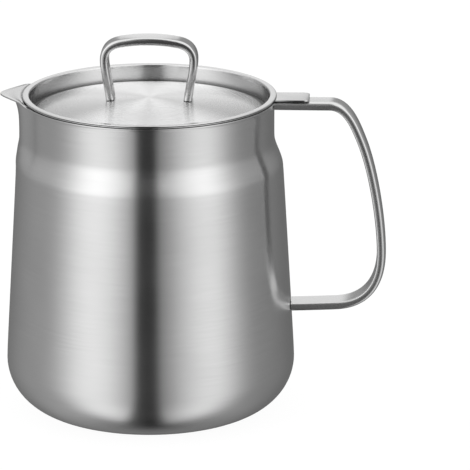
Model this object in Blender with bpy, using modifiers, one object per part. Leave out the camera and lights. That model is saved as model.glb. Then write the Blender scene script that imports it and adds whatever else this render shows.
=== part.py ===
"""Grease strainer jug in brushed steel, in metres with +Z up.

The origin is on the pot's axis at the base. +X points to the handle, -X to the beak.
The strainer hangs in the pot's neck by its rim, and the lid sits inside the strainer.
"""

import math

import bmesh
import bpy
from mathutils import Vector

# Fits
SEAT_GAP = 0.0003
SLIDE_GAP = 0.0004
CUT_OVERRUN = 0.004
WELD_DISTANCE = 0.00001

# Pot: one drawn shell, radii on its outer side
POT_HEIGHT = 0.1543
POT_SHEET = 0.0007
BODY_RADIUS = 0.0701
BASE_CORNER_RADIUS = 0.0250
SHOULDER_RADIUS = 0.0644
SHOULDER_BASE_DROP = 0.0338
SHOULDER_TOP_DROP = 0.0183
NECK_RADIUS = 0.0600
RIM_WIDTH = 0.0009
RIM_FOLD_RADIUS = 0.0003

# Pouring beak and the throat pressed into the neck below it
BEAK_REACH = 0.0111
BEAK_RISE = 0.0018
BEAK_HALF_ANGLE = math.radians(19.8)
EDGE_LEVEL_ANGLE = math.radians(12)
EDGE_RISE_ANGLE = math.radians(18)
THROAT_DEPTH = 0.0026
THROAT_FADE_SHARE = 0.30
THROAT_HALF_ANGLE = math.radians(25)
FLARE_WIDTH = 0.0033
FLARE_HEIGHT = 0.0090
# Each row: depth below the rim, flare and rise, as shares of the flare and the beak
FLARE_SHARES = (
    (0.00, 1.00, 0.70),
    (0.04, 0.80, 0.55),
    (0.21, 0.45, 0.20),
    (0.56, 0.14, 0.00),
    (1.00, 0.00, 0.00),
)

# Handle: an oval bar bent in one plane
HANDLE_WIDTH = 0.0135
HANDLE_THICKNESS = 0.0046
HANDLE_REACH = 0.0520
HANDLE_DROP = 0.1010
# Each row: place, way in and way out, as shares of the reach and of the drop
HANDLE_KNOT_SHARES = (
    ((0.510, 0.000), (-0.100, 0.000), (0.163, 0.000)),
    ((0.808, 0.177), (-0.062, -0.079), (0.108, 0.138)),
    ((1.000, 0.732), (0.000, -0.159), (0.000, 0.165)),
    ((0.577, 0.990), (0.265, -0.006), (-0.100, 0.003)),
)

# Strainer: pan, fine net, the ring that holds the net, and the tab over the handle
STRAINER_SHEET = 0.0005
STRAINER_RIM_WIDTH = 0.0010
STRAINER_FOLD_RADIUS = 0.0004
STRAINER_DEPTH = 0.0310
STRAINER_CORNER_WIDTH = 0.0180
STRAINER_CORNER_HEIGHT = 0.0210
STRAINER_SEAT_WIDTH = 0.0039
NET_THICKNESS = 0.0004
NET_MARGIN = 0.0008
NET_PITCH = 0.0054
NET_HOLE = 0.0034
RING_THICKNESS = 0.0008
TAB_LENGTH = 0.0155
TAB_WIDTH = 0.0154
TAB_THICKNESS = 0.0008
TAB_CORNER_RADIUS = 0.0020

# Lid: a dished cover and its bail, an oval bar bent to an arch
LID_SHEET = 0.0005
LID_FOLD_RADIUS = 0.0003
LID_DEPTH = 0.0073
LID_GROOVE_RADIUS = 0.0027
LID_DOME_SLOPE = math.radians(12.2)
BAIL_WIDTH = 0.0120
BAIL_THICKNESS = 0.0043
BAIL_HALF_SPAN = 0.0214
BAIL_RISE = 0.0268
# One half from the foot to the crown, as shares of the half span and of the rise
BAIL_KNOT_SHARES = (
    ((0.860, -0.150), (0.000, -0.050), (0.025, 0.240)),
    ((1.000, 0.616), (-0.008, -0.200), (0.012, 0.200)),
    ((0.584, 0.962), (0.290, -0.030), (-0.210, 0.028)),
    ((0.000, 1.000), (0.190, 0.000), (-0.190, 0.000)),
)

# Faceting
TURN_STEPS = 48
QUARTER_STEPS = 12
FLANK_STEPS = 8
SPOUT_STEPS = 16
SPOUT_SECTOR = math.radians(28)
SHOULDER_STEPS = 7
CORNER_STEPS = 7
GROOVE_STEPS = 5
FOLD_STEPS = 2
DOME_STEPS = 4
SECTION_POINTS = 14
SECTION_EXPONENT = 2.5
BEND_STEPS = 7

# Sizes that follow from those above
RIM_RADIUS = NECK_RADIUS + RIM_WIDTH
RIM_UNDERSIDE = POT_HEIGHT - POT_SHEET
STRAINER_WALL_RADIUS = NECK_RADIUS - POT_SHEET - SLIDE_GAP
STRAINER_RIM_RADIUS = NECK_RADIUS + STRAINER_RIM_WIDTH
STRAINER_RIM_UNDERSIDE = POT_HEIGHT + SEAT_GAP
STRAINER_RIM_TOP = STRAINER_RIM_UNDERSIDE + STRAINER_SHEET
STRAINER_FLOOR = STRAINER_RIM_TOP - STRAINER_DEPTH
LID_WALL_RADIUS = STRAINER_WALL_RADIUS - STRAINER_SHEET - SLIDE_GAP
LID_RIM_RADIUS = STRAINER_RIM_RADIUS
LID_RIM_UNDERSIDE = STRAINER_RIM_TOP + SEAT_GAP
LID_RIM_TOP = LID_RIM_UNDERSIDE + LID_SHEET
HANDLE_AXIS_HEIGHT = POT_HEIGHT - HANDLE_THICKNESS / 2


def clear_scene():
    """Remove every object of the open scene."""
    for found in list(bpy.data.objects):
        bpy.data.objects.remove(found, do_unlink=True)


def new_collection(name):
    """Add a collection to the scene."""
    made = bpy.data.collections.new(name)
    bpy.context.scene.collection.children.link(made)
    return made


def steel(name, shade, roughness):
    """Return a metal whose colour is a neutral grey."""
    made = bpy.data.materials.new(name)
    made.use_nodes = True
    shader = made.node_tree.nodes["Principled BSDF"]
    shader.inputs["Base Color"].default_value = (shade, shade, shade, 1.0)
    shader.inputs["Roughness"].default_value = roughness
    shader.inputs["Metallic"].default_value = 1.0
    return made


def add_object(name, data, collection, material=None):
    """Link an object for the data into the collection."""
    made = bpy.data.objects.new(name, data)
    collection.objects.link(made)
    if material is not None:
        made.data.materials.append(material)
    return made


def mesh_from(name, build):
    """Return a mesh filled by a function that works on a bmesh."""
    work = bmesh.new()
    build(work)
    mesh = bpy.data.meshes.new(name)
    work.to_mesh(mesh)
    work.free()
    return mesh


def smooth(made, angle=math.radians(35)):
    """Shade a round piece smooth and keep its edges."""
    made.data.shade_smooth()
    made.data.set_sharp_from_angle(angle=angle)


def arc(centre, radii, start, end, steps):
    """Return points of an elliptic arc in the plane of a profile."""
    points = []
    for step in range(steps + 1):
        angle = math.radians(start + (end - start) * step / steps)
        across = centre[0] + radii[0] * math.cos(angle)
        height = centre[1] + radii[1] * math.sin(angle)
        points.append((across, height))
    return points


def turn(name, profile, collection, material=None, sheet=None):
    """Turn an outer profile round the axis, as a solid or as sheet of a given thickness."""

    def build(work):
        corners = [work.verts.new((across, 0.0, height)) for across, height in profile]
        for first, second in zip(corners, corners[1:]):
            work.edges.new((first, second))

    made = add_object(name, mesh_from(name, build), collection, material)
    screw = made.modifiers.new("turn", "SCREW")
    screw.steps = TURN_STEPS
    screw.render_steps = TURN_STEPS
    screw.use_merge_vertices = True
    screw.merge_threshold = WELD_DISTANCE
    if sheet is not None:
        solidify = made.modifiers.new("sheet", "SOLIDIFY")
        solidify.thickness = sheet
        solidify.offset = -1.0
        solidify.use_even_offset = True
    return made


def cut(made, cutter):
    """Subtract a guide object and hide it."""
    cutter.hide_render = True
    cutter.display_type = "WIRE"
    boolean = made.modifiers.new("cut", "BOOLEAN")
    boolean.operation = "DIFFERENCE"
    boolean.solver = "EXACT"
    boolean.object = cutter


def lobe(angle, half_angle, level_angle=0.0):
    """Return 1 across the level middle of a pressed form and let it fall to 0 at its edges."""
    if abs(angle) <= level_angle:
        return 1.0
    if abs(angle) >= half_angle:
        return 0.0
    share = (abs(angle) - level_angle) / (half_angle - level_angle)
    return math.cos(math.pi / 2 * share) ** 2


def body_rings():
    """Return the pot's plain rings from below the neck to the base, as radius and height."""
    slope = math.atan2(BODY_RADIUS - SHOULDER_RADIUS, POT_HEIGHT - SHOULDER_BASE_DROP)
    shoulder_base = POT_HEIGHT - SHOULDER_BASE_DROP
    shoulder_top = POT_HEIGHT - SHOULDER_TOP_DROP
    rings = []
    for step in range(SHOULDER_STEPS + 1):
        share = step / SHOULDER_STEPS
        height = shoulder_top + (shoulder_base - shoulder_top) * share
        blend = share * share * (3 - 2 * share)
        line_radius = SHOULDER_RADIUS - (height - shoulder_base) * math.tan(slope)
        rings.append((NECK_RADIUS + (line_radius - NECK_RADIUS) * blend, height))
    corner_centre = (BODY_RADIUS - BASE_CORNER_RADIUS, BASE_CORNER_RADIUS)
    corner_radii = (BASE_CORNER_RADIUS, BASE_CORNER_RADIUS)
    rings += arc(corner_centre, corner_radii, math.degrees(slope), -90, CORNER_STEPS)
    return rings


def shell_rings():
    """Return the pot's rings: radius, height, and throat, reach and rise at the spout."""
    rings = [(RIM_RADIUS, RIM_UNDERSIDE, 0.0, BEAK_REACH, BEAK_RISE)]
    for depth_share, flare_share, rise_share in FLARE_SHARES:
        height = RIM_UNDERSIDE - FLARE_HEIGHT * depth_share
        radius = NECK_RADIUS
        if depth_share == 0.0:
            radius += RIM_FOLD_RADIUS
        flare = FLARE_WIDTH * flare_share
        rings.append((radius, height, THROAT_DEPTH, flare, BEAK_RISE * rise_share))
    body = body_rings()
    top = body[0][1]
    for radius, height in body:
        depth_share = (top - height) / (SHOULDER_BASE_DROP - SHOULDER_TOP_DROP)
        fade = (1.0 - depth_share) / (1.0 - THROAT_FADE_SHARE)
        rings.append((radius, height, THROAT_DEPTH * min(1.0, max(0.0, fade)), 0.0, 0.0))
    return rings


def shell_angles():
    """Return the angles of the shell's columns, closer together round the spout."""
    edges = (
        (0.0, math.pi / 2, QUARTER_STEPS),
        (math.pi / 2, math.pi - SPOUT_SECTOR, FLANK_STEPS),
        (math.pi - SPOUT_SECTOR, math.pi + SPOUT_SECTOR, SPOUT_STEPS),
        (math.pi + SPOUT_SECTOR, 3 * math.pi / 2, FLANK_STEPS),
        (3 * math.pi / 2, 2 * math.pi, QUARTER_STEPS),
    )
    angles = []
    for start, end, steps in edges:
        angles += [start + (end - start) * step / steps for step in range(steps)]
    return angles


def shell_loop(ring, angles, free_edge):
    """Return a ring's points, drawn out and up at the spout; the free edge rises evenly."""
    radius, height, throat, reach, rise = ring
    points = []
    for angle in angles:
        off_spout = angle - math.pi
        beak_lobe = lobe(off_spout, BEAK_HALF_ANGLE)
        rise_lobe = beak_lobe
        if free_edge:
            rise_lobe = lobe(off_spout, EDGE_RISE_ANGLE, EDGE_LEVEL_ANGLE)
        across = radius + throat * lobe(off_spout, THROAT_HALF_ANGLE) + reach * beak_lobe
        level = height + rise * rise_lobe
        points.append(Vector((across * math.cos(angle), across * math.sin(angle), level)))
    return points


def pot_shell(collection):
    """Loft the outer skin from the beaked rim to the round base and give it its sheet."""
    angles = shell_angles()

    def build(work):
        loops = []
        for number, ring in enumerate(shell_rings()):
            points = shell_loop(ring, angles, number == 0)
            loops.append([work.verts.new(point) for point in points])
        count = len(angles)
        for upper, lower in zip(loops, loops[1:]):
            for index in range(count):
                after = (index + 1) % count
                work.faces.new((upper[index], lower[index], lower[after], upper[after]))
        middle = work.verts.new((0.0, 0.0, 0.0))
        last = loops[-1]
        for index in range(count):
            work.faces.new((last[index], middle, last[(index + 1) % count]))

    mesh = mesh_from("pot_shell", build)
    made = add_object("pot_shell", mesh, collection, steel("brushed_pot", 0.62, 0.30))
    solidify = made.modifiers.new("sheet", "SOLIDIFY")
    solidify.thickness = POT_SHEET
    solidify.offset = -1.0
    solidify.use_even_offset = True
    smooth(made)
    return made


def oval_section(name, thickness, width, collection):
    """Return the closed oval outline that a bent bar follows."""
    curve = bpy.data.curves.new(name, "CURVE")
    curve.dimensions = "2D"
    spline = curve.splines.new("POLY")
    spline.points.add(SECTION_POINTS - 1)
    power = 2 / SECTION_EXPONENT
    for index, point in enumerate(spline.points):
        angle = 2 * math.pi * index / SECTION_POINTS
        across = math.copysign(abs(math.cos(angle)) ** power, math.cos(angle))
        along = math.copysign(abs(math.sin(angle)) ** power, math.sin(angle))
        point.co = (across * thickness / 2, along * width / 2, 0.0, 1.0)
    spline.use_cyclic_u = True
    made = add_object(name, curve, collection)
    made.hide_render = True
    return made


def bent_bar(name, knots, section, collection, material):
    """Sweep an oval section along knots in the XZ plane and return it as a mesh object."""
    curve = bpy.data.curves.new(name, "CURVE")
    curve.dimensions = "2D"
    curve.resolution_u = BEND_STEPS
    curve.bevel_mode = "OBJECT"
    curve.bevel_object = section
    curve.use_fill_caps = True
    spline = curve.splines.new("BEZIER")
    spline.bezier_points.add(len(knots) - 1)
    for point, (place, way_in, way_out) in zip(spline.bezier_points, knots):
        point.handle_left_type = "FREE"
        point.handle_right_type = "FREE"
        point.co = (place[0], place[1], 0.0)
        point.handle_left = (place[0] + way_in[0], place[1] + way_in[1], 0.0)
        point.handle_right = (place[0] + way_out[0], place[1] + way_out[1], 0.0)
    guide = add_object(name + "_path", curve, collection)
    guide.rotation_euler = (math.pi / 2, 0.0, 0.0)
    bpy.context.view_layer.update()
    graph = bpy.context.evaluated_depsgraph_get()
    mesh = bpy.data.meshes.new_from_object(guide.evaluated_get(graph))
    mesh.name = name
    work = bmesh.new()
    work.from_mesh(mesh)
    bmesh.ops.remove_doubles(work, verts=work.verts, dist=WELD_DISTANCE)
    bmesh.ops.recalc_face_normals(work, faces=work.faces)
    work.to_mesh(mesh)
    work.free()
    made = add_object(name, mesh, collection, material)
    made.matrix_world = guide.matrix_world.copy()
    bpy.data.objects.remove(guide, do_unlink=True)
    smooth(made)
    return made


def handle_knots():
    """Return the handle's bends from inside the neck, out, down and back to the wall."""
    knots = []
    for shares in HANDLE_KNOT_SHARES:
        place, way_in, way_out = (
            (across * HANDLE_REACH, -down * HANDLE_DROP) for across, down in shares
        )
        place = (NECK_RADIUS + place[0], HANDLE_AXIS_HEIGHT + place[1])
        knots.append((place, way_in, way_out))
    inward = (-CUT_OVERRUN, 0.0)
    outward = (CUT_OVERRUN, 0.0)
    upper_place = (NECK_RADIUS - CUT_OVERRUN / 2, HANDLE_AXIS_HEIGHT)
    lower_place = (SHOULDER_RADIUS, HANDLE_AXIS_HEIGHT - HANDLE_DROP)
    upper_end = (upper_place, inward, outward)
    lower_end = (lower_place, outward, inward)
    return [upper_end] + knots + [lower_end]


def pot_handle(collection, guides):
    """Bend the bar and trim both ends to the shell and its rim."""
    section = oval_section("handle_section", HANDLE_THICKNESS, HANDLE_WIDTH, guides)
    metal = steel("brushed_handle", 0.60, 0.28)
    made = bent_bar("pot_handle", handle_knots(), section, collection, metal)
    top = POT_HEIGHT + CUT_OVERRUN
    under_rim = RIM_UNDERSIDE - SEAT_GAP
    profile = [
        (0.0, top),
        (RIM_RADIUS + SEAT_GAP, top),
        (RIM_RADIUS + SEAT_GAP, under_rim),
        (NECK_RADIUS + SEAT_GAP, under_rim),
    ]
    profile += [(radius + SEAT_GAP, height) for radius, height in body_rings()]
    profile.append((0.0, 0.0))
    cut(made, turn("shell_clearance", profile, guides))
    return made


def strainer_pan(collection):
    """Turn the pan from its rim to the seat round its open floor."""
    wall = STRAINER_WALL_RADIUS
    fold = STRAINER_FOLD_RADIUS
    corner_radius = wall - STRAINER_CORNER_WIDTH
    corner_height = STRAINER_FLOOR + STRAINER_CORNER_HEIGHT
    corner_radii = (STRAINER_CORNER_WIDTH, STRAINER_CORNER_HEIGHT)
    profile = [(STRAINER_RIM_RADIUS, STRAINER_RIM_UNDERSIDE)]
    fold_centre = (wall + fold, STRAINER_RIM_UNDERSIDE - fold)
    profile += arc(fold_centre, (fold, fold), 90, 180, FOLD_STEPS)
    profile += arc((corner_radius, corner_height), corner_radii, 0, -90, CORNER_STEPS)
    profile.append((corner_radius - STRAINER_SEAT_WIDTH, STRAINER_FLOOR))
    metal = steel("brushed_pan", 0.62, 0.30)
    made = turn("strainer_pan", profile, collection, metal, STRAINER_SHEET)
    smooth(made)
    return made


def net_holes(radius, height, guides):
    """Return one guide object that holds a square block for each gap of the net."""
    reach = int(radius / NET_PITCH) + 1
    limit = radius - STRAINER_SEAT_WIDTH - NET_PITCH / 2
    places = []
    for column in range(-reach, reach + 1):
        for row in range(-reach, reach + 1):
            place = Vector((column * NET_PITCH, row * NET_PITCH, height))
            if place.xy.length < limit:
                places.append(place)

    def build(work):
        for place in places:
            block = bmesh.ops.create_cube(work, size=NET_HOLE)
            bmesh.ops.translate(work, vec=place, verts=block["verts"])

    return add_object("net_holes", mesh_from("net_holes", build), guides)


def strainer_net(collection, guides):
    """Cut the net's gaps out of a thin disc that lies on the pan's seat."""
    radius = STRAINER_WALL_RADIUS - STRAINER_CORNER_WIDTH - NET_MARGIN
    height = STRAINER_FLOOR + STRAINER_SHEET + SEAT_GAP + NET_THICKNESS / 2

    def build(work):
        disc = bmesh.ops.create_cone(
            work,
            cap_ends=True,
            segments=TURN_STEPS,
            radius1=radius,
            radius2=radius,
            depth=NET_THICKNESS,
        )
        bmesh.ops.translate(work, vec=(0.0, 0.0, height), verts=disc["verts"])

    metal = steel("net_steel", 0.55, 0.35)
    made = add_object("strainer_mesh", mesh_from("strainer_mesh", build), collection, metal)
    cut(made, net_holes(radius, height, guides))
    return made


def strainer_ring(collection):
    """Lay the holding ring on the net, over the pan's seat."""
    outer = STRAINER_WALL_RADIUS - STRAINER_CORNER_WIDTH
    inner = outer - STRAINER_SEAT_WIDTH
    floor = STRAINER_FLOOR + STRAINER_SHEET + SEAT_GAP + NET_THICKNESS + SEAT_GAP
    top = floor + RING_THICKNESS
    profile = [(inner, top), (outer, top), (outer, floor), (inner, floor), (inner, top)]
    return turn("strainer_mesh_ring", profile, collection, steel("ring_steel", 0.66, 0.22))


def strainer_tab(collection, guides):
    """Cut the tab's inner end to the rim that it is welded to and round its outer corners."""
    inner = STRAINER_RIM_RADIUS + SEAT_GAP
    outer = inner + TAB_LENGTH
    start = inner - CUT_OVERRUN

    def build(work):
        plate = bmesh.ops.create_cube(work, size=1.0)
        size = (outer - start, TAB_WIDTH, TAB_THICKNESS)
        bmesh.ops.scale(work, vec=size, verts=plate["verts"])
        height = STRAINER_RIM_UNDERSIDE + TAB_THICKNESS / 2
        centre = ((outer + start) / 2, 0.0, height)
        bmesh.ops.translate(work, vec=centre, verts=plate["verts"])
        corners = []
        for edge in work.edges:
            first, second = edge.verts
            upright = first.co.x == second.co.x and first.co.y == second.co.y
            if upright and first.co.x > inner:
                corners.append(edge)
        bmesh.ops.bevel(
            work,
            geom=corners,
            offset=TAB_CORNER_RADIUS,
            segments=CORNER_STEPS,
            affect="EDGES",
            profile=0.5,
        )

    mesh = mesh_from("strainer_tab", build)
    made = add_object("strainer_tab", mesh, collection, steel("tab_steel", 0.64, 0.26))
    top = STRAINER_RIM_UNDERSIDE + CUT_OVERRUN
    bottom = STRAINER_RIM_UNDERSIDE - CUT_OVERRUN
    profile = [(0.0, top), (inner, top), (inner, bottom), (0.0, bottom)]
    cut(made, turn("rim_clearance", profile, guides))
    smooth(made)
    return made


def lid_profile():
    """Return the lid's lower skin from the rim, down the wall and over the dome."""
    fold = LID_FOLD_RADIUS
    groove = LID_GROOVE_RADIUS
    slope = math.degrees(LID_DOME_SLOPE)
    centre = (LID_WALL_RADIUS - groove, LID_RIM_UNDERSIDE - LID_DEPTH + groove)
    profile = [(LID_RIM_RADIUS, LID_RIM_UNDERSIDE)]
    fold_centre = (LID_WALL_RADIUS + fold, LID_RIM_UNDERSIDE - fold)
    profile += arc(fold_centre, (fold, fold), 90, 180, FOLD_STEPS)
    profile += arc(centre, (groove, groove), 0, -90 - slope, GROOVE_STEPS)
    edge_radius, edge_height = profile[-1]
    dome_radius = edge_radius / math.sin(LID_DOME_SLOPE)
    dome_centre = (0.0, edge_height - dome_radius * math.cos(LID_DOME_SLOPE))
    dome = arc(dome_centre, (dome_radius, dome_radius), 90 - slope, 90, DOME_STEPS)
    apex = (0.0, dome[-1][1])
    return profile + dome[1:-1] + [apex]


def lid_dish(collection):
    """Turn the lid."""
    metal = steel("brushed_lid", 0.66, 0.30)
    made = turn("lid_dish", lid_profile(), collection, metal, LID_SHEET)
    smooth(made)
    return made


def bail_knots():
    """Return the bail's bends from one foot over the crown to the other."""
    half = []
    for shares in BAIL_KNOT_SHARES:
        place, way_in, way_out = (
            (across * BAIL_HALF_SPAN, up * BAIL_RISE) for across, up in shares
        )
        place = (place[0], LID_RIM_TOP + place[1])
        half.append((place, way_in, way_out))
    mirrored = []
    for place, way_in, way_out in reversed(half[:-1]):
        flipped = [(-across, height) for across, height in (place, way_out, way_in)]
        mirrored.append(tuple(flipped))
    return half + mirrored


def lid_bail(collection, guides):
    """Bend the bail and trim its feet to the dome."""
    section = oval_section("bail_section", BAIL_THICKNESS, BAIL_WIDTH, guides)
    metal = steel("polished_bail", 0.64, 0.18)
    made = bent_bar("lid_bail", bail_knots(), section, collection, metal)
    lift = LID_SHEET + SEAT_GAP
    dome = [point for point in lid_profile() if point[0] < LID_WALL_RADIUS - LID_GROOVE_RADIUS]
    profile = [(radius, height + lift) for radius, height in reversed(dome)]
    edge = profile[-1][0]
    bottom = STRAINER_FLOOR
    profile += [(edge, bottom), (0.0, bottom)]
    cut(made, turn("dome_clearance", profile, guides))
    return made


def ride(empty_name, pieces, collection):
    """Parent the pieces to an empty on the jug's axis, at rim height."""
    pivot = bpy.data.objects.new(empty_name, None)
    collection.objects.link(pivot)
    pivot.location = (0.0, 0.0, POT_HEIGHT)
    bpy.context.view_layer.update()
    for piece in pieces:
        piece.parent = pivot
        piece.matrix_parent_inverse = pivot.matrix_world.inverted()


def main():
    """Build the jug."""
    clear_scene()
    jug = new_collection("grease_strainer_jug")
    guides = new_collection("guides")
    pot_shell(jug)
    pot_handle(jug, guides)
    strainer = [
        strainer_pan(jug),
        strainer_net(jug, guides),
        strainer_ring(jug),
        strainer_tab(jug, guides),
    ]
    ride("strainer_lift", strainer, jug)
    ride("lid_lift", [lid_dish(jug), lid_bail(jug, guides)], jug)


main()
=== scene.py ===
"""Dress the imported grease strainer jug: pressed sheet, bent bars, a woven net and brushed steel."""

import math

import bpy
from bpy.props import FloatProperty, FloatVectorProperty, IntProperty, PointerProperty
from bpy.types import Operator, Panel, PropertyGroup
from mathutils import Matrix, Vector


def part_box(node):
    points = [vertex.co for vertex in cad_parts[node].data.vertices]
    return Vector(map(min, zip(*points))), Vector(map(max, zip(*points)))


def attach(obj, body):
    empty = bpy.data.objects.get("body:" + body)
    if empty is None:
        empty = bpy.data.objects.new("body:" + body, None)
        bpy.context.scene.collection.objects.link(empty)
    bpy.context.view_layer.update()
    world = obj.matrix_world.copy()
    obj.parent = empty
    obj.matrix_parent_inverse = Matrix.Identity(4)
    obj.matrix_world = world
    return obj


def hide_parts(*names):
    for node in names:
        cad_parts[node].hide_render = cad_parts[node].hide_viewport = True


bl_info = {
    "name": "Grease Strainer Jug",
    "version": (1, 0, 0),
    "blender": (4, 5, 0),
    "location": "View3D > Sidebar > Jug",
    "description": "Models a steel jug with a strainer and a lid round its packed frame",
    "category": "Object",
}

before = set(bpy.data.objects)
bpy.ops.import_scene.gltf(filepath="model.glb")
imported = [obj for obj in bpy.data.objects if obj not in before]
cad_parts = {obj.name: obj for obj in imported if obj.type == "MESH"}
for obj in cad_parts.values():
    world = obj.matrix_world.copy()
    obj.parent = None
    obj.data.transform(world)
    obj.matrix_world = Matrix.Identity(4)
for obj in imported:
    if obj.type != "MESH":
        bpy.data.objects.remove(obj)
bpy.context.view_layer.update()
NET_LOW, NET_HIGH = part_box("strainer_mesh")
RING_LOW, RING_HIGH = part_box("strainer_mesh_ring")
PAN_LOW, PAN_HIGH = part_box("strainer_pan")
TAB_LOW, TAB_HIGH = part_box("strainer_tab")
LID_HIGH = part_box("lid_dish")[1]

# The pot's lower skin at the spout. Each row: depth below the rim as a share of the flare's
# height, flare as a share of its width, and rise as a share of the beak's rise.
FLARE_SHARES = (
    (0.00, 1.00, 0.70),
    (0.04, 0.80, 0.55),
    (0.21, 0.45, 0.20),
    (0.56, 0.14, 0.00),
    (1.00, 0.00, 0.00),
)
# The upper skin there, which runs in under the lid's rim, for the same rows: distance outside
# the lid's rim and depth below the beak's edge, both as shares of the flare's height.
FLOOR_SHARES = (
    (0.200, 0.000),
    (0.070, 0.025),
    (-0.027, 0.060),
    (-0.030, 0.150),
    (-0.130, 0.850),
)
LIP_STEPS = 4
RIM_CLEARANCE = 0.0002
THROAT_FADE_SHARE = 0.30
BEAK_HALF_ANGLE = math.radians(19.8)
BEAK_EDGE_ANGLE = math.radians(32)
BEAK_BLUNTNESS = 0.11
EDGE_LEVEL_ANGLE = math.radians(16)
EDGE_RISE_ANGLE = math.radians(22)
THROAT_HALF_ANGLE = math.radians(24)
THROAT_LEVEL_ANGLE = math.radians(12)
HOLLOW_ANGLE = math.radians(26.5)
HOLLOW_HALF_ANGLE = math.radians(4.5)
HOLLOW_SHARE = 0.13

# Bends of the two bars. Each row: place, way in and way out, as shares of the bar's reach
# across and up.
HANDLE_KNOT_SHARES = (
    ((0.510, 0.000), (-0.100, 0.000), (0.163, 0.000)),
    ((0.808, 0.177), (-0.062, -0.079), (0.108, 0.138)),
    ((1.000, 0.732), (0.000, -0.159), (0.000, 0.165)),
    ((0.577, 0.990), (0.265, -0.006), (-0.100, 0.003)),
)
BAIL_KNOT_SHARES = (
    ((0.860, -0.150), (0.000, -0.050), (0.025, 0.240)),
    ((1.000, 0.616), (-0.008, -0.200), (0.012, 0.200)),
    ((0.584, 0.962), (0.290, -0.030), (-0.210, 0.028)),
    ((0.000, 1.000), (0.190, 0.000), (-0.190, 0.000)),
)
SECTION_POINTS = 40
BEND_STEPS = 24
# How square a bar's section is on the inner and on the outer side of its bends
HANDLE_SQUARENESS = (8.0, 3.0)
BAIL_SQUARENESS = (4.5, 4.5)

# Working values that no user changes
SHOULDER_STEPS = 9
CORNER_STEPS = 12
GROOVE_STEPS = 7
FOLD_STEPS = 3
DOME_STEPS = 10
WALL_STEPS = 4
STEP_SLOPE = 60
# The strainer's corner is higher than it is wide
CORNER_STRETCH = 7 / 6
POLE_RADIUS = 0.00002
HELPER_CORE = 0.001
TRIM_OVERRUN = 0.004
WELD_DISTANCE = 0.00001
SHEET_ROUNDING = 0.45
SHEET_SEGMENTS = 2
PLATE_SEGMENTS = 3
TAB_CORNER_SHARE = 1 / 6
TAB_CORNER_STEPS = 8
TAB_ROUNDING = 1 / 4
RING_ROUNDING = 1 / 3
EDGE_ANGLE = math.radians(60)
SMOOTH_ANGLE = math.radians(40)
WIRE_SMOOTH_ANGLE = math.radians(60)

# How the steel's colour, gloss and surface follow its lines and smudges
DARK_SHADE = 0.88
LIGHT_SHADE = 1.10
LINE_TONE = 0.5
POLISHED_TONE = 0.2
SMUDGE_TONE = 0.35
LINE_GLOSS = 0.10
POLISHED_GLOSS = 0.04
SMUDGE_GLOSS = 0.08
LINE_DEPTH = 0.00001
POLISHED_DEPTH = 0.000001
BUMP_STRENGTH = 0.5
LINE_TURN = 0.25
TURNED_SCALE = 3.0
ALONG_SCALE = 30.0
SMUDGE_SCALE = 35.0
LINE_DETAIL = 2.0
SMUDGE_DETAIL = 1.0
NOISE_ROUGHNESS = 0.6
# The numbers of a Mix node's two colour sockets and of its colour output
MIX_FIRST = 6
MIX_SECOND = 7
MIX_OUTPUT = 2
# Painted shade on the lid's wall and rim, and how much glossier its finer lines are there
WALL_PAINTED_SHADE = 0.76
FINE_GLOSS = 0.10
# Painted shade in the lid's groove, and how much rougher the steel is there
GROOVE_PAINTED_SHADE = 0.35
GROOVE_ROUGHENING = 0.15
# Where the lid's groove and wall lie, as distances in from its rim's edge and below its rim
GROOVE_OUTER = 0.0075
GROOVE_INNER = 0.0085
GROOVE_TOP = 0.0072
GROOVE_FULL = 0.0080
WALL_OUTER = 0.0055
WALL_INNER = 0.0075


def length(name, default, description):
    """Return a property for a length in metres."""
    kind = {"min": 0.0, "precision": 5, "unit": "LENGTH", "subtype": "DISTANCE"}
    return FloatProperty(name=name, description=description, default=default, **kind)


def share(name, default, description):
    """Return a property for a factor from 0 to 1."""
    kind = {"min": 0.0, "max": 1.0, "subtype": "FACTOR"}
    return FloatProperty(name=name, description=description, default=default, **kind)


def turn_angle(name, degrees, description):
    """Return a property for an angle, given in degrees."""
    kind = {"default": math.radians(degrees), "unit": "ROTATION", "subtype": "ANGLE"}
    return FloatProperty(name=name, description=description, **kind)


def grey(name, shade, description):
    """Return a property for a neutral steel colour."""
    kind = {"default": (shade, shade, shade), "min": 0.0, "max": 1.0, "subtype": "COLOR"}
    return FloatVectorProperty(name=name, description=description, **kind)


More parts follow.
